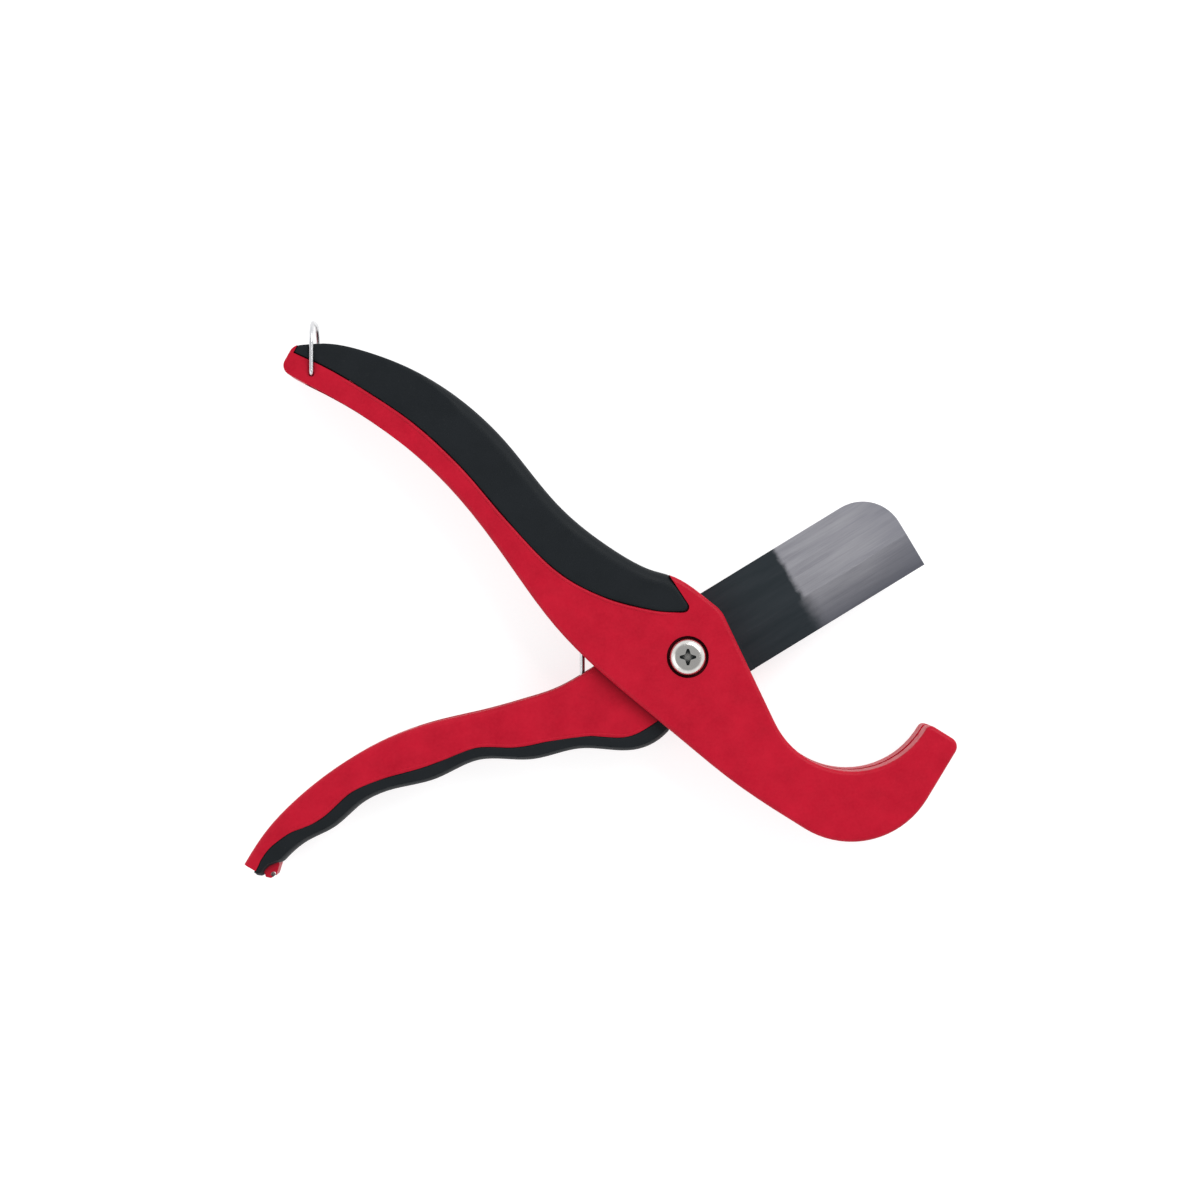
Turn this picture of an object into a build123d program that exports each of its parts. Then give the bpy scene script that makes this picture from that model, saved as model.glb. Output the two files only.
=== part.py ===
from build123d import *
import math
import os

# One-hand cutter for plastic pipe, lying on its rear side face.
# Origin: on the pivot axis, level with the rear side face.
# +Z is the pivot axis, +X points to the jaw, +Y to the side that the blade opens to.
# All sizes are in millimetres and all angles in degrees.

# ---- driving dimensions ----
body_thickness = 21.0
cheek_thickness = 3.5
edge_round = 1.1

throat_radius = 21.9
throat_center = (42.2, -7.5)
throat_end_angle = 334.0
jaw_bottom_radius = 22.7
jaw_bottom_center = (42.0, -24.8)
jaw_bottom_start_angle = 238.2

handle_thickness = 13.2
hub_radius = 10.6
hub_clearance = 0.3
closing_angle = 58.3

blade_thickness = 2.5
blade_half_width = 12.0
blade_length = 65.2
blade_open_angle = 31.5
blade_corner_radius = 11.0
blade_slot_gap = 0.35
bevel_width = 9.2
bevel_start = 13.5
cutting_edge_thickness = 0.4
tang_radius = 17.6

barrel_radius = 4.0
barrel_head_radius = 6.0
barrel_head_height = 1.8
screw_radius = 2.48
screw_bore_radius = 2.5
screw_head_radius = 4.75
screw_head_height = 3.0
counterbore_radius = 5.4
counterbore_depth = 2.0
lock_washer_thickness = 0.8
bushing_wall = 1.2
running_clearance = 0.04
washer_gap = 0.02
washer_radius = 9.0
pin_radius = 1.5
pin_circle_radius = 14.0
pin_angles = (200.0, 236.0)

rubber_palm = 2.2
rubber_side = 1.2
rubber_round = 3.0
web_thickness = 2.4
groove_gap = 0.25

spring_wire_radius = 0.65
spring_coil_radius = 3.9
spring_coil_turns = 3
spring_coil_pitch = 1.45
spring_center = (-31.0, -13.7)
spring_groove_width = 6.6

bail_hole = (-96.7, 72.8)
bail_hole_radius = 0.7
bail_wire_radius = 0.55
bail_reach = 13.6
bail_bend_radius = 5.5
bail_eye_radius = 0.65
bail_end_depth = 5.0
tip_relief_depth = 2.3
tip_relief_flat = 14.0
tip_relief_ramp = 25.0

overshoot = 1.0

# ---- derived sizes ----
mid_plane = body_thickness / 2
channel_bottom = cheek_thickness
channel_height = body_thickness - 2 * cheek_thickness
handle_bottom = mid_plane - handle_thickness / 2
handle_top = mid_plane + handle_thickness / 2
blade_bottom = mid_plane - blade_thickness / 2
counterbore_floor = body_thickness - counterbore_depth
barrel_end_gap = 0.1
barrel_end = counterbore_floor - barrel_end_gap
bushing_radius = barrel_radius + running_clearance + bushing_wall
washer_thickness = handle_bottom - channel_bottom - 2 * washer_gap

# ---- outline points ----
palm_points = [
    (-95.3, 80.6),
    (-83.1, 78.7),
    (-70.7, 73.9),
    (-58.4, 66.2),
    (-46.2, 54.7),
    (-33.9, 39.7),
    (-21.5, 29.2),
    (-9.2, 22.3),
    (3.1, 16.4),
]
rear_edge_points = [
    (12.2, -32.4),
    (-4.4, -18.9),
    (-18.2, -7.5),
    (-33.8, 7.6),
    (-46.1, 24.2),
    (-58.3, 40.2),
    (-70.6, 52.4),
    (-82.9, 61.6),
    (-98.6, 70.5),
]
grip_edge_points = [
    (-101.4, 78.2),
    (-95.1, 75.3),
    (-82.8, 68.2),
    (-70.5, 59.8),
    (-58.3, 48.5),
    (-46.1, 34.4),
    (-33.8, 21.9),
    (-21.5, 15.1),
    (-9.2, 11.8),
    (-2.2, 11.3),
]
lever_top_points = [
    (-114.3, -53.6),
    (-108.2, -44.4),
    (-102.1, -37.9),
    (-89.8, -28.1),
    (-77.5, -21.2),
    (-65.1, -16.8),
    (-52.6, -13.9),
    (-40.1, -10.4),
    (-27.7, -4.9),
]
strip_inner_points = [
    (-6.3, -15.7),
    (-15.4, -20.6),
    (-24.6, -20.4),
    (-36.9, -22.0),
    (-45.0, -23.4),
    (-54.0, -23.4),
    (-64.7, -27.3),
    (-77.1, -31.0),
    (-87.0, -35.2),
    (-95.3, -42.3),
    (-102.4, -45.4),
    (-106.0, -47.9),
    (-109.0, -51.0),
    (-110.4, -53.2),
    (-111.3, -55.3),
]
strip_outer_points = [
    (-4.6, -19.2),
    (-15.4, -24.4),
    (-27.7, -23.9),
    (-40.1, -26.7),
    (-54.0, -26.9),
    (-64.9, -31.7),
    (-77.3, -34.8),
    (-84.5, -38.4),
    (-91.5, -44.4),
    (-98.0, -47.7),
    (-101.8, -50.5),
    (-104.4, -53.1),
]
strip_tip_points = [
    (-106.6, -53.9),
    (-107.9, -54.4),
    (-109.0, -55.6),
    (-109.7, -56.9),
    (-111.2, -56.7),
    (-111.7, -55.6),
]


def at_angle(radius, angle, center=(0, 0)):
    """The point at a distance and a direction from a centre."""
    x = center[0] + radius * math.cos(math.radians(angle))
    y = center[1] + radius * math.sin(math.radians(angle))
    return (x, y)


def along(axis_angle, distance, offset):
    """The point at a distance along a line through the pivot and an offset to its left."""
    x = distance * math.cos(math.radians(axis_angle)) - offset * math.sin(math.radians(axis_angle))
    y = distance * math.sin(math.radians(axis_angle)) + offset * math.cos(math.radians(axis_angle))
    return (x, y)


def touch_angle(point, center, radius, side):
    """The direction, from a circle's centre, of the point where a line from outside touches it."""
    dx = point[0] - center[0]
    dy = point[1] - center[1]
    swing = math.degrees(math.acos(radius / math.hypot(dx, dy)))
    return (math.degrees(math.atan2(dy, dx)) + side * swing) % 360


def inset(points, distance):
    """The points of an open line moved to the right of its direction by a distance."""
    moved = []
    for index, (x, y) in enumerate(points):
        before = points[max(index - 1, 0)]
        after = points[min(index + 1, len(points) - 1)]
        dx = after[0] - before[0]
        dy = after[1] - before[1]
        length = math.hypot(dx, dy)
        moved.append((x + distance * dy / length, y - distance * dx / length))
    return moved


# ---- shared outlines ----
shoulder = (8.7, 11.9)
hook_corner = (70.1, -22.2)
tip_lower = (-104.9, 73.9)
tip_upper = (-101.4, 80.14)
tip_lower_radius = 2.6
tip_upper_radius = 3.2
shoulder_radius = 8.0
hook_radius = 2.6
lip_radius = 1.6
shoulder_direction = (shoulder[0] - palm_points[-1][0], shoulder[1] - palm_points[-1][1])
throat_start_angle = touch_angle(shoulder, throat_center, throat_radius, 1)
throat_start = at_angle(throat_radius, throat_start_angle, throat_center)
throat_end = at_angle(throat_radius, throat_end_angle, throat_center)
throat_sweep = throat_end_angle - throat_start_angle
jaw_end_angle = touch_angle(hook_corner, jaw_bottom_center, jaw_bottom_radius, -1)
jaw_end = at_angle(jaw_bottom_radius, jaw_end_angle, jaw_bottom_center)
jaw_sweep = jaw_end_angle - jaw_bottom_start_angle

with BuildSketch() as frame_outline:
    with BuildLine():
        Spline(*palm_points, tangents=((0.997, 0.075), shoulder_direction))
        Polyline(palm_points[-1], shoulder, throat_start)
        CenterArc(throat_center, throat_radius, throat_start_angle, throat_sweep)
        Polyline(throat_end, hook_corner, jaw_end)
        jaw_arc = CenterArc(jaw_bottom_center, jaw_bottom_radius, jaw_end_angle, -jaw_sweep)
        Spline(jaw_arc @ 1, *rear_edge_points, tangents=(jaw_arc % 1, (-0.9, 0.43)))
        Polyline(rear_edge_points[-1], tip_lower, tip_upper, palm_points[0])
    make_face()
    for corner, radius in (
        (shoulder, shoulder_radius),
        (hook_corner, hook_radius),
        (throat_end, lip_radius),
        (tip_lower, tip_lower_radius),
        (tip_upper, tip_upper_radius),
    ):
        fillet(frame_outline.vertices().sort_by_distance((*corner, 0))[0], radius=radius)

# The side of the grip reaches from the palm edge down to this line.
grip_nose = (1.5, 11.5)
grip_nose_back = (-8.0, 26.0)
grip_nose_radius = 1.4
grip_end = (-99.6, 81.6)
beyond_palm = 110.0


def grip_area(gap):
    """The side view of the grip and all beyond the palm edge, drawn in by a gap."""
    edge = inset(grip_edge_points, -gap)
    nose = (grip_nose[0] - gap, grip_nose[1] + gap)
    nose_back = (grip_nose_back[0] - gap, grip_nose_back[1])
    above_nose = (grip_nose_back[0] - gap, beyond_palm)
    end = (grip_end[0] + gap, grip_end[1])
    above_tip = (grip_end[0] + gap, beyond_palm)
    with BuildSketch() as area:
        with BuildLine():
            Spline(*edge, tangents=((0.89, -0.45), (1, 0.03)))
            Polyline(edge[-1], nose, nose_back, above_nose, above_tip, end, edge[0])
        make_face()
        fillet(area.vertices().sort_by_distance((*nose, 0))[0], radius=grip_nose_radius)
    return area.sketch


grip_region = grip_area(0.0)
grip_fit_region = grip_area(groove_gap)

# The red core under the rubber, set in from the palm edge.
core_line = inset(palm_points, rubber_palm)
outside_palm = [(20.0, 60.0), (-60.0, beyond_palm), (-110.0, 90.0)]
with BuildSketch() as palm_strip_region:
    with BuildLine():
        Spline(*core_line)
        Polyline(core_line[-1], *outside_palm, core_line[0])
    make_face()
    add(grip_region, mode=Mode.INTERSECT)

# The channel that the lower handle swings into, with the hub pocket at its end.
channel_line = inset(palm_points[1:-1], rubber_palm + web_thickness)
channel_hub_end = (5.2, 9.9)
channel_tip_end = [(-101.0, 71.3), (-94.0, 70.6), (-88.0, 70.2)]
stop_foot = (-3.4, -19.4)
stop_angle = 314.0
pocket_radius = hub_radius + hub_clearance
stop_contact = at_angle(pocket_radius, stop_angle)
finger_side = [(-30.0, -45.0), (-110.0, 40.0)]
with BuildSketch() as channel_region:
    with BuildLine():
        Spline(*channel_line)
        Polyline(channel_line[-1], channel_hub_end, stop_contact, stop_foot, finger_side[0])
        Polyline(*finger_side, *channel_tip_end, channel_line[0])
    make_face()
    Circle(pocket_radius)

# The slot that the blade sweeps through, from open to closed.
blade_closed_angle = blade_open_angle - closing_angle
slot_depth = blade_half_width + 0.8
slot_reach = blade_length + 2.0
slot_end_angle = -10.0
slot_heel = -6.0
slot_top = blade_half_width + 0.5
slot_tang_gap = 0.5
beyond_blade = 90.0
slot_foot = along(blade_closed_angle, slot_heel, -slot_depth)
slot_corner_distance = math.sqrt(slot_reach**2 - slot_depth**2)
slot_corner = along(blade_closed_angle, slot_corner_distance, -slot_depth)
slot_corner_angle = math.degrees(math.atan2(slot_corner[1], slot_corner[0]))
slot_top_start = along(blade_open_angle, 0.0, slot_top)
slot_top_end = along(blade_open_angle, beyond_blade, slot_top)
slot_mouth = (beyond_blade, slot_end_angle)
with BuildSketch() as blade_slot_region:
    with BuildLine():
        Line(slot_foot, slot_corner)
        slot_arc = CenterArc((0, 0), slot_reach, slot_corner_angle, slot_end_angle - slot_corner_angle)
        Polyline(slot_arc @ 1, slot_mouth, slot_top_end, slot_top_start, slot_foot)
    make_face()
    Circle(tang_radius + slot_tang_gap)

# Each side of the tip is thinned, with a ramp up to full thickness.
tip_inward = Vector(0.93, -0.37, 0).normalized()
tip_plane = Plane(
    origin=(*bail_hole, 0),
    x_dir=tip_inward,
    z_dir=tip_inward.cross(Vector(0, 0, 1)),
)
relief_start = -30.0
relief_end = 140.0
relief_far = 10.0
relief_width = 60.0


def side_layer(depth):
    """Both outer layers of the handle: the tip relief, plus a depth everywhere."""
    with BuildPart() as layer:
        with BuildSketch(tip_plane):
            with BuildLine():
                Polyline(
                    (relief_start, -relief_far),
                    (relief_start, tip_relief_depth + depth),
                    (tip_relief_flat, tip_relief_depth + depth),
                    (tip_relief_flat + tip_relief_ramp, depth),
                    (relief_end, depth),
                    (relief_end, -relief_far),
                    (relief_start, -relief_far),
                )
            make_face()
        extrude(amount=relief_width, both=True)
        mirror(about=Plane.XY.offset(mid_plane))
    return layer.part


tip_relief = side_layer(0.0)
rubber_layer = side_layer(rubber_side)

with BuildPart() as grip_layer_cut:
    with BuildSketch():
        add(grip_region)
    extrude(amount=body_thickness)
    add(rubber_layer, mode=Mode.INTERSECT)

# ---- jaw frame ----
with BuildPart() as jaw_frame:
    with BuildSketch():
        add(frame_outline.sketch)
    extrude(amount=body_thickness)
    rims = jaw_frame.edges().filter_by_position(Axis.Z, 0, 0)
    rims += jaw_frame.edges().filter_by_position(Axis.Z, body_thickness, body_thickness)
    fillet(rims, radius=edge_round)
    add(tip_relief, mode=Mode.SUBTRACT)
    add(grip_layer_cut.part, mode=Mode.SUBTRACT)
    with BuildSketch():
        add(palm_strip_region.sketch)
    extrude(amount=body_thickness, mode=Mode.SUBTRACT)
    with BuildSketch(Plane.XY.offset(channel_bottom)):
        add(channel_region.sketch)
    extrude(amount=channel_height, mode=Mode.SUBTRACT)
    with BuildSketch(Plane.XY.offset(blade_bottom - blade_slot_gap)):
        add(blade_slot_region.sketch)
    extrude(amount=blade_thickness + 2 * blade_slot_gap, mode=Mode.SUBTRACT)
    Cylinder(barrel_radius + running_clearance, 3 * body_thickness, mode=Mode.SUBTRACT)
    with BuildSketch():
        Circle(barrel_head_radius + running_clearance)
    extrude(amount=barrel_head_height, mode=Mode.SUBTRACT)
    with BuildSketch(Plane.XY.offset(counterbore_floor)):
        Circle(counterbore_radius)
    extrude(amount=counterbore_depth, mode=Mode.SUBTRACT)
    with Locations((*bail_hole, 0)):
        Cylinder(bail_hole_radius, 3 * body_thickness, mode=Mode.SUBTRACT)
jaw_frame.part.label = "jaw_frame"

# ---- upper grip ----
inside_palm = [(3.1, -20.0), (-120.0, 40.0), (-120.0, 78.74)]
with BuildPart() as upper_grip:
    with BuildSketch():
        with BuildLine():
            Spline(*palm_points, tangents=((0.997, 0.075), shoulder_direction))
            Polyline(palm_points[-1], *inside_palm, palm_points[0])
        make_face()
    extrude(amount=body_thickness)
    palm_face = upper_grip.faces().sort_by_distance((*palm_points[4], mid_plane))[0]
    rims = palm_face.edges().filter_by_position(Axis.Z, 0, 0)
    rims += palm_face.edges().filter_by_position(Axis.Z, body_thickness, body_thickness)
    fillet(rims, radius=rubber_round)
    with BuildSketch(Plane.XY.offset(-overshoot)):
        add(grip_fit_region)
    extrude(amount=body_thickness + 2 * overshoot, mode=Mode.INTERSECT)
    add(tip_relief, mode=Mode.SUBTRACT)
    add(jaw_frame.part, mode=Mode.SUBTRACT)
    with BuildSketch(Plane.XY.offset(channel_bottom)):
        add(channel_region.sketch)
    extrude(amount=channel_height, mode=Mode.SUBTRACT)
    with BuildSketch(Plane.XY.offset(blade_bottom - blade_slot_gap)):
        add(blade_slot_region.sketch)
    extrude(amount=blade_thickness + 2 * blade_slot_gap, mode=Mode.SUBTRACT)
upper_grip.part.label = "upper_grip"

# ---- lower handle ----
hub_top_angle = 122.0
hub_stop_angle = 314.1
strip_end = (-3.2, -17.9)
top_edge_round = 1.5
catch_groove_gap = 0.15
strip_groove_gap = 0.4
catch_points = [
    (-105.6, -45.0),
    (-105.4, -54.0),
    (-106.2, -56.6),
    (-107.6, -57.3),
    (-108.9, -57.0),
    (-109.3, -55.8),
    (-110.6, -49.0),
]
catch_bottom = 6.4
catch_top = body_thickness - catch_bottom
bail_locked_angle = 237.0
locked_wire = at_angle(bail_reach, bail_locked_angle, bail_hole)
wire_distance = math.hypot(*locked_wire)
wire_direction = math.degrees(math.atan2(locked_wire[1], locked_wire[0]))
catch_groove = at_angle(wire_distance, wire_direction + closing_angle)

with BuildSketch() as core_outline:
    with BuildLine():
        Spline(*lever_top_points, tangents=((0.5, 0.87), (0.85, 0.53)))
        Line(lever_top_points[-1], at_angle(hub_radius, hub_top_angle))
        CenterArc((0, 0), hub_radius, hub_top_angle, hub_stop_angle - 360 - hub_top_angle)
        Polyline(at_angle(hub_radius, hub_stop_angle), strip_end, strip_inner_points[0])
        Spline(*strip_inner_points, tangents=((-0.85, -0.53), (-0.45, -0.89)))
        Line(strip_inner_points[-1], lever_top_points[0])
    make_face()

# Everything on the finger side of the core, out past the rubber.
strip_overlap = inset(strip_inner_points, 1.0)
strip_start = strip_outer_points[0]
beyond_strip = [(strip_start[0], -80.0), (-120.0, -80.0), (-120.0, -50.0)]
with BuildSketch() as strip_region:
    with BuildLine():
        Polyline(strip_overlap[0], strip_end, strip_start, beyond_strip[0])
        Polyline(*beyond_strip, lever_top_points[0], strip_overlap[-1])
        Spline(*strip_overlap[::-1])
    make_face()

with BuildSketch() as catch_outline:
    with BuildLine():
        Polyline(*catch_points, catch_points[0])
    make_face()
    with Locations(catch_groove):
        Circle(bail_wire_radius + catch_groove_gap, mode=Mode.SUBTRACT)

# The slot in the hub that the tang of the blade sits in.
tang_slot_gap = 0.05
tang_slot_bottom = blade_bottom - tang_slot_gap
tang_slot_height = blade_thickness + 2 * tang_slot_gap
tang_end_gap = 0.3
tang_mouth = 40.0
with BuildSketch() as tang_slot_region:
    Circle(tang_radius + tang_end_gap)
    with Locations((tang_mouth / 2, 0)):
        Rectangle(tang_mouth, tang_mouth)

coil_pocket_points = [
    (-70.0, -12.0),
    (-70.0, -22.0),
    (-52.0, -18.0),
    (-40.0, -18.6),
    (-27.5, -18.9),
    (-25.6, -16.0),
    (-25.6, 0.0),
]
with BuildPart() as lower_handle:
    with BuildSketch(Plane.XY.offset(handle_bottom)):
        add(core_outline.sketch)
    extrude(amount=handle_thickness)
    top_faces = lower_handle.faces().filter_by(Axis.Z, reverse=True)
    top_face = top_faces.sort_by_distance((*lever_top_points[5], mid_plane))[0]
    fillet(top_face.edges().filter_by(GeomType.BSPLINE), radius=top_edge_round)
    with BuildSketch(Plane.XY.offset(catch_bottom)):
        add(catch_outline.sketch)
    extrude(amount=catch_top - catch_bottom)
    with BuildSketch(Plane.XY.offset(mid_plane - spring_groove_width / 2)):
        with BuildLine():
            Polyline(*coil_pocket_points, coil_pocket_points[0])
        make_face()
    extrude(amount=spring_groove_width, mode=Mode.SUBTRACT)
    with BuildSketch(Plane.XY.offset(tang_slot_bottom)):
        add(tang_slot_region.sketch)
    extrude(amount=tang_slot_height, mode=Mode.SUBTRACT)
    Cylinder(bushing_radius, 3 * body_thickness, mode=Mode.SUBTRACT)
    with Locations([(*at_angle(pin_circle_radius, a), mid_plane) for a in pin_angles]):
        Cylinder(pin_radius, 2 * body_thickness, mode=Mode.SUBTRACT)
lower_handle.part.label = "lower_handle"

# ---- lower grip ----
above_strip = [(-110.0, 0.0), (strip_start[0], 0.0)]
with BuildPart() as lower_grip:
    with BuildSketch(Plane.XY.offset(handle_bottom)):
        with BuildLine():
            Spline(*strip_outer_points)
            Polyline(strip_outer_points[-1], *strip_tip_points, *above_strip, strip_start)
        make_face()
    extrude(amount=handle_thickness)
    with BuildSketch(Plane.XY.offset(-overshoot)):
        add(strip_region.sketch)
    extrude(amount=body_thickness + 2 * overshoot, mode=Mode.INTERSECT)
    add(lower_handle.part, mode=Mode.SUBTRACT)
    with BuildSketch(Plane.XY.offset(tang_slot_bottom)):
        add(tang_slot_region.sketch)
    extrude(amount=tang_slot_height, mode=Mode.SUBTRACT)
    with Locations((*catch_groove, 0)):
        Cylinder(bail_wire_radius + strip_groove_gap, 3 * body_thickness, mode=Mode.SUBTRACT)
lower_grip.part.label = "lower_grip"

# ---- blade ----
blade_heel = math.sqrt(tang_radius**2 - blade_half_width**2)
blade_plane = Plane.XY.offset(blade_bottom).rotated((0, 0, blade_open_angle))
with BuildPart() as blade:
    with BuildSketch(blade_plane):
        with BuildLine():
            Polyline(
                (-blade_heel, -blade_half_width),
                (blade_length, -blade_half_width),
                (blade_length, blade_half_width),
                (-blade_heel, blade_half_width),
            )
            ThreePointArc(
                (-blade_heel, blade_half_width),
                (-tang_radius, 0),
                (-blade_heel, -blade_half_width),
            )
        make_face()
    extrude(amount=blade_thickness)
    upper_corner = along(blade_open_angle, blade_length, blade_half_width)
    corner_edges = blade.edges().filter_by(Axis.Z)
    upper_corner_edge = corner_edges.sort_by_distance((*upper_corner, mid_plane))[0]
    fillet(upper_corner_edge, radius=blade_corner_radius)
    bevel_plane = Plane(
        origin=(*along(blade_open_angle, bevel_start, -blade_half_width), mid_plane),
        x_dir=Vector(*along(blade_open_angle, 0, 1), 0),
        z_dir=Vector(*along(blade_open_angle, 1, 0), 0),
    )
    bevel_drop = (blade_thickness - cutting_edge_thickness) / 2
    bevel_outer = cutting_edge_thickness / 2 - overshoot * bevel_drop / bevel_width
    for side in (1, -1):
        with BuildSketch(bevel_plane):
            with BuildLine():
                Polyline(
                    (-overshoot, side * bevel_outer),
                    (bevel_width, side * blade_thickness / 2),
                    (bevel_width, side * blade_thickness),
                    (-overshoot, side * blade_thickness),
                    (-overshoot, side * bevel_outer),
                )
            make_face()
        extrude(amount=blade_length, mode=Mode.SUBTRACT)
    Cylinder(bushing_radius, 3 * body_thickness, mode=Mode.SUBTRACT)
    with Locations([(*at_angle(pin_circle_radius, a), mid_plane) for a in pin_angles]):
        Cylinder(pin_radius, 2 * body_thickness, mode=Mode.SUBTRACT)
blade.part.label = "blade"

# ---- blade pins ----
pin_recess = 0.3
with BuildPart() as blade_pins:
    with BuildSketch(Plane.XY.offset(handle_bottom + pin_recess)):
        with Locations([at_angle(pin_circle_radius, a) for a in pin_angles]):
            Circle(pin_radius)
    extrude(amount=handle_thickness - 2 * pin_recess)
blade_pins.part.label = "blade_pins"

# ---- pivot bushing ----
with BuildPart() as pivot_bushing:
    with BuildSketch(Plane.XY.offset(handle_bottom)):
        Circle(bushing_radius)
        Circle(barrel_radius + running_clearance, mode=Mode.SUBTRACT)
    extrude(amount=handle_thickness)
pivot_bushing.part.label = "pivot_bushing"


def thrust_washer(level, outer_radius):
    """A thin nylon ring between the hub and a cheek."""
    with BuildPart() as ring:
        with BuildSketch(Plane.XY.offset(level)):
            Circle(outer_radius)
            Circle(barrel_radius + running_clearance, mode=Mode.SUBTRACT)
        extrude(amount=washer_thickness)
    return ring.part


rear_washer = thrust_washer(channel_bottom + washer_gap, washer_radius)
rear_washer.label = "rear_washer"
front_washer = thrust_washer(handle_top + washer_gap, washer_radius)
front_washer.label = "front_washer"

# ---- pivot barrel ----
drive_hole_radius = 0.9
drive_hole_distance = 3.6
drive_hole_depth = 1.2
barrel_head_chamfer = 0.3
with BuildPart() as pivot_barrel:
    with BuildSketch():
        Circle(barrel_head_radius)
    extrude(amount=barrel_head_height)
    with BuildSketch():
        Circle(barrel_radius)
    extrude(amount=barrel_end)
    with BuildSketch(Plane.XY.offset(2 * barrel_head_height)):
        Circle(screw_bore_radius)
    extrude(amount=barrel_end, mode=Mode.SUBTRACT)
    with BuildSketch():
        with PolarLocations(drive_hole_distance, 2):
            Circle(drive_hole_radius)
    extrude(amount=drive_hole_depth, mode=Mode.SUBTRACT)
    head_circles = pivot_barrel.edges().filter_by(GeomType.CIRCLE).group_by(Axis.Z)[0]
    chamfer(head_circles.sort_by(SortBy.RADIUS)[-1], barrel_head_chamfer)
pivot_barrel.part.label = "pivot_barrel"

# ---- pivot screw ----
screw_seat = counterbore_floor + lock_washer_thickness
recess_reach = 2.1
recess_tip_half = 0.3
recess_root = 0.72
recess_depth = 1.8
screw_length = 13.0
screw_head_round = 1.9
with BuildPart() as pivot_screw:
    with BuildSketch(Plane.XY.offset(screw_seat)):
        Circle(screw_head_radius)
    extrude(amount=screw_head_height)
    fillet(pivot_screw.edges().sort_by(Axis.Z)[-1], radius=screw_head_round)
    with BuildSketch(Plane.XY.offset(screw_seat)):
        Circle(screw_radius)
    extrude(amount=-screw_length)
    with BuildSketch(Plane.XY.offset(screw_seat + screw_head_height)):
        with BuildLine():
            recess_arm = [(recess_reach, -recess_tip_half), (recess_reach, recess_tip_half)]
            recess_arm.append((recess_root, recess_root))
            recess_points = []
            for quarter in range(4):
                for x, y in recess_arm:
                    recess_points.append(Vector(x, y).rotate(Axis.Z, 90 * quarter))
            Polyline(*recess_points, recess_points[0])
        make_face()
    extrude(amount=-recess_depth, mode=Mode.SUBTRACT)
pivot_screw.part.label = "pivot_screw"

# ---- lock washer ----
lock_washer_radius = 4.5
lock_washer_split = 0.7
lock_washer_split_angle = 20
lock_washer_bore_gap = 0.15
with BuildPart() as lock_washer:
    with BuildSketch(Plane.XY.offset(counterbore_floor)):
        Circle(lock_washer_radius)
        Circle(screw_radius + lock_washer_bore_gap, mode=Mode.SUBTRACT)
        with Locations((lock_washer_radius, 0)):
            Rectangle(
                lock_washer_radius,
                lock_washer_split,
                rotation=lock_washer_split_angle,
                mode=Mode.SUBTRACT,
            )
    extrude(amount=lock_washer_thickness)
lock_washer.part.label = "lock_washer"

# ---- return spring ----
spring_leg_x = spring_center[0] + spring_coil_radius
spring_top = (spring_leg_x, 27.0)
coil_height = spring_coil_turns * spring_coil_pitch
coil_start = mid_plane - coil_height / 2
leg_height = coil_start + coil_height - spring_wire_radius
foot_height = coil_start + spring_wire_radius
foot_end = -44.0
with BuildPart() as return_spring:
    with BuildSketch(Plane.XY.offset(coil_start)):
        with Locations(spring_center):
            Circle(spring_coil_radius + spring_wire_radius)
            Circle(spring_coil_radius - spring_wire_radius, mode=Mode.SUBTRACT)
    extrude(amount=coil_height)
    with BuildSketch(Plane(origin=(spring_leg_x, spring_center[1], leg_height), z_dir=(0, 1, 0))):
        Circle(spring_wire_radius)
    extrude(amount=spring_top[1] - spring_center[1])
    foot_y = spring_center[1] - spring_coil_radius
    with BuildSketch(Plane(origin=(spring_center[0], foot_y, foot_height), z_dir=(-1, 0, 0))):
        Circle(spring_wire_radius)
    extrude(amount=spring_center[0] - foot_end)
return_spring.part.label = "return_spring"

# ---- lock bail ----
bail_leg_gap = 0.1
leg_bottom = tip_relief_depth - bail_leg_gap - bail_wire_radius
leg_top = body_thickness - leg_bottom
with BuildPart() as lock_bail:
    with BuildLine() as bail_path:
        FilletPolyline(
            (*bail_hole, leg_bottom + bail_end_depth),
            (*bail_hole, leg_bottom),
            (bail_hole[0], bail_hole[1] + bail_reach, leg_bottom),
            (bail_hole[0], bail_hole[1] + bail_reach, leg_top),
            (*bail_hole, leg_top),
            (*bail_hole, leg_top - bail_end_depth),
            radius=(bail_eye_radius, bail_bend_radius, bail_bend_radius, bail_eye_radius),
        )
    with BuildSketch(Plane(origin=bail_path.line @ 0, z_dir=bail_path.line % 0)):
        Circle(bail_wire_radius)
    sweep()
lock_bail.part.label = "lock_bail"

# ---- export ----
pieces = [
    jaw_frame.part,
    upper_grip.part,
    lower_handle.part,
    lower_grip.part,
    blade.part,
    blade_pins.part,
    pivot_bushing.part,
    rear_washer,
    front_washer,
    pivot_barrel.part,
    pivot_screw.part,
    lock_washer.part,
    return_spring.part,
    lock_bail.part,
]
os.makedirs("parts", exist_ok=True)
for piece in pieces:
    export_step(piece, f"parts/{piece.label}.step")
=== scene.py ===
import math

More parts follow.
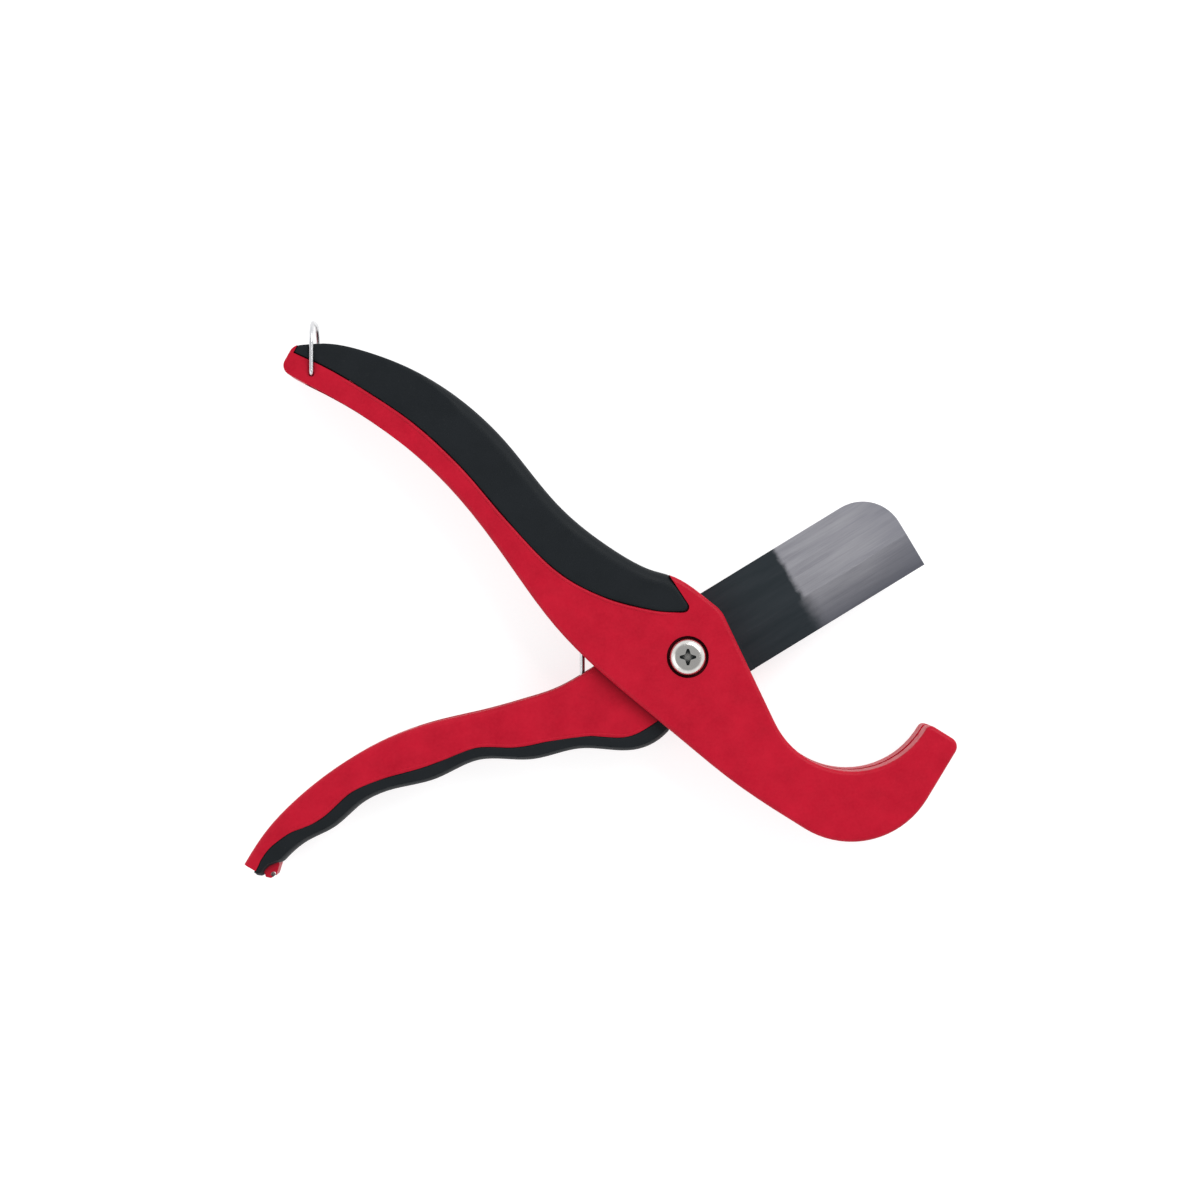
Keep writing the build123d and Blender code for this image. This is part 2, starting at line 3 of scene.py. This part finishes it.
import bmesh
import bpy
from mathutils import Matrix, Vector


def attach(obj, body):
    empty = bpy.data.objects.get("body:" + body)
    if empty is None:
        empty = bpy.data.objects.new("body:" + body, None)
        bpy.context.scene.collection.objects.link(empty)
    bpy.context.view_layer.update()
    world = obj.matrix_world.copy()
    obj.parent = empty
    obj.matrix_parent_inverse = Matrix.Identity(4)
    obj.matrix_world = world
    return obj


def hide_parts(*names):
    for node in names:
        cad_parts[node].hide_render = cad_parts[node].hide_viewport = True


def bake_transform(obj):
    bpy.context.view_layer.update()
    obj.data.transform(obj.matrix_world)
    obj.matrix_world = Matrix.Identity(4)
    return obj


# A cutter for plastic pipe on a pale floor, seen square on from above.
# The CAD frame is kept as it is. The rubber grips and the return spring are rebuilt as finished meshes.
# Lengths are in millimetres up to MM, which turns them into metres.

MM = 0.001
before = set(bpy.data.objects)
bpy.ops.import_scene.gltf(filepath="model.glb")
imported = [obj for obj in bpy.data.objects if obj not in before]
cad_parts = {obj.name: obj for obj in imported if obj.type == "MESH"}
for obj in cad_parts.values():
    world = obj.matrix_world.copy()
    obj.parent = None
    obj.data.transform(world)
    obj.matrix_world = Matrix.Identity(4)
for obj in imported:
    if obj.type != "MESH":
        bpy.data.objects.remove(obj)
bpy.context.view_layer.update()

BODY_THICKNESS = 21.0
MID_PLANE = BODY_THICKNESS / 2
HANDLE_HALF = 6.6
BLADE_ANGLE = 31.5
BAIL_HOLE = (-96.7, 72.8)
TIP_RELIEF_DEPTH = 2.3
TIP_RELIEF_FLAT = 14.0
TIP_RELIEF_RAMP = 25.0

# The two colour inputs and the colour output of a Mix node.
MIX_FIRST = 6
MIX_SECOND = 7
MIX_RESULT = 2


def mesh_piece(name, mesh):
    """A new object that holds a mesh."""
    piece = bpy.data.objects.new(name, mesh)
    bpy.context.scene.collection.objects.link(piece)
    return piece


def shade_smooth(mesh):
    """Makes every face of a mesh smooth."""
    mesh.polygons.foreach_set("use_smooth", [True] * len(mesh.polygons))


def smoothstep(value, low, high):
    """Rises from 0 at low to 1 at high."""
    share = min(1.0, max(0.0, (value - low) / (high - low)))
    return share * share * (3 - 2 * share)


# ---- materials ----


class Look:
    """One material and the nodes that drive it."""

    def __init__(self, name):
        self.material = bpy.data.materials.new(name)
        self.material.use_nodes = True
        self.tree = self.material.node_tree
        self.shader = self.tree.nodes["Principled BSDF"]
        self.place = self.node("ShaderNodeTexCoord").outputs["Object"]

    def node(self, kind, **settings):
        """A new node of a kind, with some settings."""
        made = self.tree.nodes.new(kind)
        for key, value in settings.items():
            setattr(made, key, value)
        return made

    def join(self, source, socket):
        """Links an output to a socket, or gives the socket a plain value."""
        if hasattr(source, "is_output"):
            self.tree.links.new(source, socket)
        else:
            socket.default_value = source

    def turned(self, angle, stretch=(1, 1, 1)):
        """The place, turned about Z by an angle in degrees and then stretched."""
        turn = self.node("ShaderNodeMapping")
        self.join(self.place, turn.inputs["Vector"])
        turn.inputs["Rotation"].default_value = (0, 0, math.radians(angle))
        grow = self.node("ShaderNodeMapping")
        self.join(turn.outputs[0], grow.inputs["Vector"])
        grow.inputs["Scale"].default_value = stretch
        return grow.outputs[0]

    def noise(self, size, detail=3.0, rough=0.5, place=None):
        """Noise whose features have a size in millimetres."""
        made = self.node("ShaderNodeTexNoise")
        self.join(place or self.place, made.inputs["Vector"])
        made.inputs["Scale"].default_value = 1 / (size * MM)
        made.inputs["Detail"].default_value = detail
        made.inputs["Roughness"].default_value = rough
        return made.outputs["Fac"]

    def spread(self, value, low, high, to_low=0.0, to_high=1.0, ease="LINEAR"):
        """A value mapped from one range to another."""
        made = self.node("ShaderNodeMapRange", interpolation_type=ease)
        self.join(value, made.inputs["Value"])
        made.inputs["From Min"].default_value = low
        made.inputs["From Max"].default_value = high
        made.inputs["To Min"].default_value = to_low
        made.inputs["To Max"].default_value = to_high
        return made.outputs["Result"]

    def math(self, operation, first, second=0.0):
        """The result of an operation on one or two values."""
        made = self.node("ShaderNodeMath", operation=operation)
        self.join(first, made.inputs[0])
        self.join(second, made.inputs[1])
        return made.outputs[0]

    def mix(self, share, first, second):
        """One colour mixed into another."""
        made = self.node("ShaderNodeMix", data_type="RGBA", blend_type="MIX")
        self.join(share, made.inputs["Factor"])
        for index, colour in ((MIX_FIRST, first), (MIX_SECOND, second)):
            self.join(colour if hasattr(colour, "is_output") else (*colour, 1.0), made.inputs[index])
        return made.outputs[MIX_RESULT]

    def parts(self, vector):
        """The X, Y and Z of a vector."""
        made = self.node("ShaderNodeSeparateXYZ")
        self.join(vector, made.inputs[0])
        return made.outputs

    def bump(self, heights):
        """Bumps from (height, depth in millimetres) pairs, one on the other."""
        normal = None
        for height, depth in heights:
            made = self.node("ShaderNodeBump")
            self.join(height, made.inputs["Height"])
            made.inputs["Distance"].default_value = depth * MM
            if normal is not None:
                self.join(normal, made.inputs["Normal"])
            normal = made.outputs["Normal"]
        self.join(normal, self.shader.inputs["Normal"])

    def crevice(self, reach):
        """Near 0 in corners and gaps, 1 in the open: the mask for painted shade in crevices."""
        made = self.node("ShaderNodeAmbientOcclusion", samples=6)
        made.inputs["Distance"].default_value = reach * MM
        return made.outputs["AO"]

    def set(self, **values):
        """Sets inputs of the shader: an underscore stands for a space in the name."""
        for key, value in values.items():
            self.join(value, self.shader.inputs[key.replace("_", " ")])


def red_nylon():
    """Satin moulded red, with the faint cloudy flow marks of glass-filled nylon, and painted shade in
    its crevices.
    """
    look = Look("red_nylon")
    clouds = look.spread(look.noise(9.0, 5.0, 0.62), 0.32, 0.7)
    grain = look.spread(look.noise(0.7, 3.0, 0.6), 0.3, 0.7)
    body = look.mix(clouds, (0.38, 0.003, 0.017), (0.48, 0.006, 0.024))
    body = look.mix(look.math("MULTIPLY", grain, 0.3), body, (0.54, 0.012, 0.032))
    # Painted shade: the red is darkened to a deep maroon in corners, in gaps and along the rubber's
    # edges.
    painted_shade = look.spread(look.crevice(2.2), 0.25, 0.85)
    body = look.mix(painted_shade, (0.10, 0.003, 0.008), body)
    look.set(Base_Color=body, IOR=1.5, Specular_IOR_Level=0.12)
    look.set(Roughness=look.spread(look.noise(3.0, 4.0, 0.6), 0.3, 0.7, 0.36, 0.5))
    look.bump([(look.noise(1.1, 2.0), 0.02), (look.noise(0.28, 2.0), 0.006)])
    return look.material


def black_rubber():
    """Soft matte rubber with a fine grain, a parting line at mid-plane and dulled patches."""
    look = Look("black_rubber")
    patches = look.spread(look.noise(11.0, 5.0, 0.6), 0.3, 0.7)
    body = look.mix(patches, (0.0032, 0.0054, 0.0072), (0.0060, 0.0085, 0.0108))
    dust = look.spread(look.noise(0.5, 2.0, 0.6), 0.62, 0.78)
    body = look.mix(look.math("MULTIPLY", dust, 0.07), body, (0.10, 0.10, 0.10))
    look.set(Base_Color=body, IOR=1.48, Specular_IOR_Level=0.2)
    look.set(Roughness=look.spread(patches, 0.0, 1.0, 0.52, 0.66))
    height = look.parts(look.place)[2]
    away = look.math("ABSOLUTE", look.math("SUBTRACT", height, MID_PLANE * MM))
    seam = look.spread(away, 0.05 * MM, 0.22 * MM, 1.0, 0.0, "SMOOTHSTEP")
    look.bump([(look.noise(0.35, 3.0, 0.6), 0.03), (look.noise(2.5, 2.0), 0.02), (seam, 0.08)])
    return look.material


def blade_steel():
    """Brushed steel along the blade, blackened by heat treatment towards the pivot."""
    look = Look("blade_steel")
    u, v, _ = look.parts(look.turned(-BLADE_ANGLE))
    brush = look.noise(0.16, 3.0, 0.7, look.turned(-BLADE_ANGLE, (0.012, 1.0, 1.0)))
    broad = look.noise(2.2, 3.0, 0.6, look.turned(-BLADE_ANGLE, (0.10, 1.0, 1.0)))
    wobble = look.spread(look.noise(2.4, 3.0, 0.6), 0.2, 0.8, -0.6 * MM, 0.6 * MM)
    in_bevel = look.spread(v, -3.4 * MM, -2.4 * MM, 1.0, 0.0, "SMOOTHSTEP")
    ragged = look.math("ADD", u, wobble)
    sharp = look.spread(ragged, 32.7 * MM, 35.0 * MM, 1.0, 0.0, "SMOOTHSTEP")
    faded = look.spread(ragged, 31.5 * MM, 38.5 * MM, 1.0, 0.0, "SMOOTHSTEP")
    black = look.node("ShaderNodeMix", data_type="FLOAT")
    look.join(in_bevel, black.inputs[0])
    look.join(sharp, black.inputs[2])
    look.join(faded, black.inputs[3])
    black = black.outputs[0]
    steel = look.mix(look.spread(brush, 0.3, 0.7), (0.33, 0.325, 0.36), (0.46, 0.455, 0.485))
    steel = look.mix(look.spread(broad, 0.35, 0.7, 0.0, 0.45), steel, (0.56, 0.55, 0.575))
    edge_shade = look.spread(v, -12.0 * MM, -3.0 * MM, 0.86, 0.2)
    steel = look.mix(edge_shade, steel, (0.12, 0.125, 0.15))
    tip_shade = look.spread(u, 50.0 * MM, 66.0 * MM, 0.0, 0.42, "SMOOTHSTEP")
    steel = look.mix(tip_shade, steel, (0.17, 0.175, 0.21))
    oxide = look.mix(look.spread(broad, 0.3, 0.7), (0.011, 0.017, 0.021), (0.020, 0.026, 0.031))
    colour = look.mix(black, steel, oxide)
    look.set(Base_Color=colour, Metallic=look.spread(black, 0.0, 1.0, 1.0, 0.2))
    look.set(Specular_IOR_Level=0.25)
    rough = look.spread(brush, 0.25, 0.75, 0.34, 0.46)
    look.set(Roughness=look.math("ADD", rough, look.math("MULTIPLY", black, 0.06)))
    look.bump([(brush, 0.006), (broad, 0.01)])
    return look.material


def plated(name, light, dark, low, high, scratch):
    """A bright plated metal, with fine scratches, dull spots and painted shade in its crevices."""
    look = Look(name)
    spots = look.spread(look.noise(1.6, 4.0, 0.6), 0.35, 0.75)
    body = look.mix(spots, light, dark)
    # Painted shade: the plated colour darkens to near black in corners and gaps.
    body = look.mix(look.spread(look.crevice(1.6), 0.5, 0.95), (0.03, 0.035, 0.035), body)
    look.set(Base_Color=body, Metallic=1.0)
    look.set(Roughness=look.spread(spots, 0.0, 1.0, low, high))
    lines = look.noise(0.12, 2.0, 0.6, look.turned(35.0, (0.05, 1.0, 1.0)))
    look.bump([(lines, scratch), (look.noise(0.6, 2.0), 0.004)])
    return look.material


def moulded(name, light, dark, rough):
    """A plain moulded or sintered piece with speckle and painted shade in its crevices."""
    look = Look(name)
    speckle = look.spread(look.noise(0.4, 4.0, 0.7), 0.3, 0.7)
    body = look.mix(speckle, light, dark)
    # Painted shade: the colour darkens to a third of its dark tone in corners and gaps.
    body = look.mix(look.spread(look.crevice(1.5), 0.2, 0.9), tuple(0.35 * c for c in dark), body)
    look.set(Base_Color=body, Roughness=look.spread(speckle, 0.0, 1.0, rough, rough + 0.12))
    look.bump([(speckle, 0.01)])
    return look


def pale_floor():
    """A matte near-white floor that glows a little, so that it renders as plain white."""
    look = Look("pale_floor")
    body = look.mix(look.noise(60.0, 2.0), (0.42, 0.42, 0.42), (0.44, 0.44, 0.44))
    look.set(Base_Color=body, Roughness=0.9, Specular_IOR_Level=0.1)
    look.set(Emission_Color=(1.0, 1.0, 1.0, 1.0), Emission_Strength=0.74)
    return look.material


red = red_nylon()
rubber = black_rubber()
steel = blade_steel()
nickel = plated("bright_nickel", (0.80, 0.78, 0.74), (0.66, 0.64, 0.60), 0.16, 0.30, 0.002)
wire = plated("drawn_wire", (0.72, 0.72, 0.73), (0.55, 0.55, 0.56), 0.22, 0.36, 0.003)
nylon = moulded("natural_nylon", (0.82, 0.80, 0.74), (0.72, 0.70, 0.64), 0.42).material
bronze = moulded("sintered_bronze", (0.52, 0.34, 0.16), (0.38, 0.24, 0.11), 0.45)
bronze.set(Metallic=0.9)

finishes = {
    "jaw_frame": red,
    "upper_grip": rubber,
    "lower_handle": red,
    "lower_grip": rubber,
    "blade": steel,
    "blade_pins": wire,
    "pivot_bushing": bronze.material,
    "rear_washer": nylon,
    "front_washer": nylon,
    "pivot_barrel": nickel,
    "pivot_screw": nickel,
    "lock_washer": nickel,
    "return_spring": wire,
    "lock_bail": wire,
}
for name, finish in finishes.items():
    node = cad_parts[name]
    node.data.materials.clear()
    node.data.materials.append(finish)

# ---- rubber grips ----


def softened(node, name, voxel, passes):
    """An even mesh made from a CAD piece, with its edges rounded as moulded rubber is."""
    piece = mesh_piece(name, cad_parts[node].data.copy())
    remesh = piece.modifiers.new("remesh", "REMESH")
    remesh.mode = "VOXEL"
    remesh.voxel_size = voxel * MM
    smooth = piece.modifiers.new("smooth", "SMOOTH")
    smooth.factor = 0.5
    smooth.iterations = passes
    graph = bpy.context.evaluated_depsgraph_get()
    made = bpy.data.meshes.new_from_object(piece.evaluated_get(graph), depsgraph=graph)
    piece.modifiers.clear()
    piece.data = made
    shade_smooth(made)
    made.materials.clear()
    made.materials.append(rubber)
    return piece


upper_skin = softened("upper_grip", "upper_grip_skin", 0.32, 5)
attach(upper_skin, "frame")
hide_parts("upper_grip")

# The finger strip is crowned: its outer face falls away towards both sides.
crown_depth = 1.5
lower_skin = softened("lower_grip", "lower_grip_skin", 0.26, 5)
finger_side = Vector((0.31, -0.95, 0.0))
skin_normals = [entry.vector.copy() for entry in lower_skin.data.vertex_normals]
for vertex, normal in zip(lower_skin.data.vertices, skin_normals):
    outward = smoothstep(normal.dot(finger_side), -0.1, 0.35)
    aside = min(1.0, abs(vertex.co.z / MM - MID_PLANE) / HANDLE_HALF)
    vertex.co -= finger_side * (outward * crown_depth * MM * aside**4)
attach(lower_skin, "lever")
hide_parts("lower_grip")

# ---- tubes ----


def tube(name, path, radius, finish, sides=20, flat=1.0):
    """A closed tube along a path, with rounded ends. flat squeezes its section in Z."""
    made = bmesh.new()
    points = [Vector(p) * MM for p in path]
    rings = []
    up = Vector((0, 0, 1))
    last = len(points) - 1
    for index, point in enumerate(points):
        ahead = points[min(index + 1, last)] - points[max(index - 1, 0)]
        ahead.normalize()
        side = ahead.cross(up)
        if side.length < 1e-3:
            side = Vector((1, 0, 0))
        side.normalize()
        over = side.cross(ahead)
        ring = []
        for step in range(sides):
            turn = 2 * math.pi * step / sides
            arm = side * math.cos(turn) + over * (math.sin(turn) * flat)
            ring.append(made.verts.new(point + arm * radius * MM))
        rings.append((ring, point, ahead))
    for (first, _, _), (second, _, _) in zip(rings, rings[1:]):
        for step in range(sides):
            after = (step + 1) % sides
            made.faces.new((first[step], first[after], second[after], second[step]))
    for (ring, point, ahead), way in ((rings[0], -1), (rings[-1], 1)):
        bulge = ahead * way * radius * 0.3 * MM
        inner = [made.verts.new(point + (v.co - point) * 0.6 + bulge) for v in ring]
        for step in range(sides):
            after = (step + 1) % sides
            made.faces.new((ring[step], ring[after], inner[after], inner[step]))
        made.faces.new(inner)
    bmesh.ops.recalc_face_normals(made, faces=made.faces)
    mesh = bpy.data.meshes.new(name)
    made.to_mesh(mesh)
    made.free()
    shade_smooth(mesh)
    mesh.materials.append(finish)
    return mesh_piece(name, mesh)


def rounded_path(corners, step):
    """Points of a smooth open line through some corners, about a step apart."""
    line = []
    last = len(corners) - 1
    for index in range(last):
        p0 = Vector(corners[max(index - 1, 0)])
        p1 = Vector(corners[index])
        p2 = Vector(corners[index + 1])
        p3 = Vector(corners[min(index + 2, last)])
        count = max(2, round((p2 - p1).length / step))
        for k in range(count):
            t = k / count
            line.append(
                0.5
                * (
                    2 * p1
                    + (p2 - p0) * t
                    + (2 * p0 - 5 * p1 + 4 * p2 - p3) * t * t
                    + (3 * p1 - p0 - 3 * p2 + p3) * t**3
                )
            )
    line.append(Vector(corners[-1]))
    return line


# ---- return spring ----
coil_center = Vector((-31.0, -13.7))
coil_radius = 3.9
wire_radius = 0.65
coil_turns = 2.25
foot_level = MID_PLANE - 1.525
leg_level = MID_PLANE + 1.525
foot_length = 13.0
leg_length = 40.4

spring_path = []
foot_y = coil_center.y - coil_radius
for k in range(14):
    spring_path.append((coil_center.x - foot_length * (1 - k / 14), foot_y, foot_level))
for k in range(91):
    turn = -math.pi / 2 + 2 * math.pi * coil_turns * k / 90
    x = coil_center.x + coil_radius * math.cos(turn)
    y = coil_center.y + coil_radius * math.sin(turn)
    spring_path.append((x, y, foot_level + (leg_level - foot_level) * k / 90))
leg_x = coil_center.x + coil_radius
for k in range(1, 41):
    spring_path.append((leg_x, coil_center.y + leg_length * k / 40, leg_level))
spring = tube("return_spring_wire", spring_path, wire_radius, wire, 16)
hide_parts("return_spring")
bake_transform(spring)

# ---- moulded lips beside the rubber ----
# The red stands up in a low rounded lip where the rubber meets it.
# The upper lip starts past the ground that the bail's leg sweeps.
tip_inward = Vector((0.93, -0.37)).normalized()


def side_level(x, y):
    """How high the front side of the upper handle is at a place: its tip is thinned."""
    reach = (Vector((x, y)) - Vector(BAIL_HOLE)).dot(tip_inward)
    ramp = min(1.0, max(0.0, (reach - TIP_RELIEF_FLAT) / TIP_RELIEF_RAMP))
    return BODY_THICKNESS - TIP_RELIEF_DEPTH * (1 - ramp)


grip_edge = [
    (-91.0, 73.0),
    (-82.8, 68.2),
    (-70.5, 59.8),
    (-58.3, 48.5),
    (-46.1, 34.4),
    (-33.8, 21.9),
    (-21.5, 15.1),
    (-9.2, 11.8),
    (-2.2, 11.3),
]
strip_edge = [
    (-9.0, -17.3),
    (-15.4, -20.6),
    (-24.6, -20.4),
    (-36.9, -22.0),
    (-45.0, -23.4),
    (-54.0, -23.4),
    (-64.7, -27.3),
    (-77.1, -31.0),
    (-87.0, -35.2),
    (-95.3, -42.3),
    (-102.4, -45.4),
    (-104.8, -47.0),
]


lip_radius = 0.5
lip_flatness = 0.8
lip_step = 0.8
lip_sink = 0.22
lip_end_sink = 0.4
lip_end_steps = 6


def lip(name, edge, gap, level, body):
    """A low rounded lip beside an edge line, on the red side of it, sunk at both ends."""
    line = rounded_path([(x, y, 0.0) for x, y in edge], lip_step)
    path = []
    last = len(line) - 1
    for index, point in enumerate(line):
        ahead = line[min(index + 1, last)] - line[max(index - 1, 0)]
        ahead.normalize()
        x = point.x + gap * ahead.y
        y = point.y - gap * ahead.x
        ease = min(1.0, index / lip_end_steps, (last - index) / lip_end_steps)
        path.append((x, y, level(x, y) - lip_sink - lip_end_sink * (1 - ease)))
    made = tube(name, path, lip_radius, red, 14, lip_flatness)
    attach(made, body)
    return made


lip("upper_lip", grip_edge, 0.35, side_level, "frame")
lip("lower_lip", strip_edge, 0.45, lambda x, y: MID_PLANE + HANDLE_HALF, "lever")

# ---- floor, light and camera ----
floor_mesh = bpy.data.meshes.new("floor")
half = 3.0
floor_corners = [(-half, -half, 0), (half, -half, 0), (half, half, 0), (-half, half, 0)]
floor_mesh.from_pydata(floor_corners, [], [(0, 1, 2, 3)])
floor_mesh.materials.append(pale_floor())
floor = mesh_piece("floor", floor_mesh)
floor_gap = 0.05
floor.location.z = -floor_gap * MM

world = bpy.data.worlds.new("studio")
world.use_nodes = True
# The sky is dimmer straight overhead, so that faces turned up keep their own colour.
backdrop = world.node_tree.nodes["Background"]
backdrop.inputs["Color"].default_value = (0.97, 0.98, 1.0, 1.0)
place = world.node_tree.nodes.new("ShaderNodeTexCoord")
split = world.node_tree.nodes.new("ShaderNodeSeparateXYZ")
fade = world.node_tree.nodes.new("ShaderNodeMapRange")
fade.interpolation_type = "SMOOTHSTEP"
fade.inputs["From Min"].default_value = 0.60
fade.inputs["From Max"].default_value = 0.95
fade.inputs["To Min"].default_value = 1.0
fade.inputs["To Max"].default_value = 0.4
world.node_tree.links.new(place.outputs["Generated"], split.inputs[0])
world.node_tree.links.new(split.outputs["Z"], fade.inputs["Value"])
world.node_tree.links.new(fade.outputs["Result"], backdrop.inputs["Strength"])
bpy.context.scene.world = world


def softbox(name, place, size, power, target=(0.0, 0.0, 0.0)):
    """A square lamp that faces a target."""
    lamp = bpy.data.lights.new(name, "AREA")
    lamp.shape = "SQUARE"
    lamp.size = size
    lamp.energy = power
    made = bpy.data.objects.new(name, lamp)
    bpy.context.scene.collection.objects.link(made)
    made.location = place
    made.rotation_mode = "QUATERNION"
    made.rotation_quaternion = (Vector(target) - Vector(place)).to_track_quat("-Z", "Y")


softbox("key", (0.30, 0.42, 0.62), 0.45, 3.2)
softbox("fill", (-0.55, -0.25, 0.6), 0.6, 1.1)

view_centre = Vector((-22.5, 14.6, MID_PLANE)) * MM
view_distance = 0.75
view_width = 0.312
camera_data = bpy.data.cameras.new("camera")
camera_data.sensor_width = 36.0
camera_data.lens = camera_data.sensor_width * view_distance / view_width
camera_data.clip_start = 0.01
camera = bpy.data.objects.new("camera", camera_data)
bpy.context.scene.collection.objects.link(camera)
camera.location = view_centre + Vector((0, 0, view_distance))
bpy.context.scene.camera = camera
bpy.context.scene.view_settings.view_transform = "Standard"
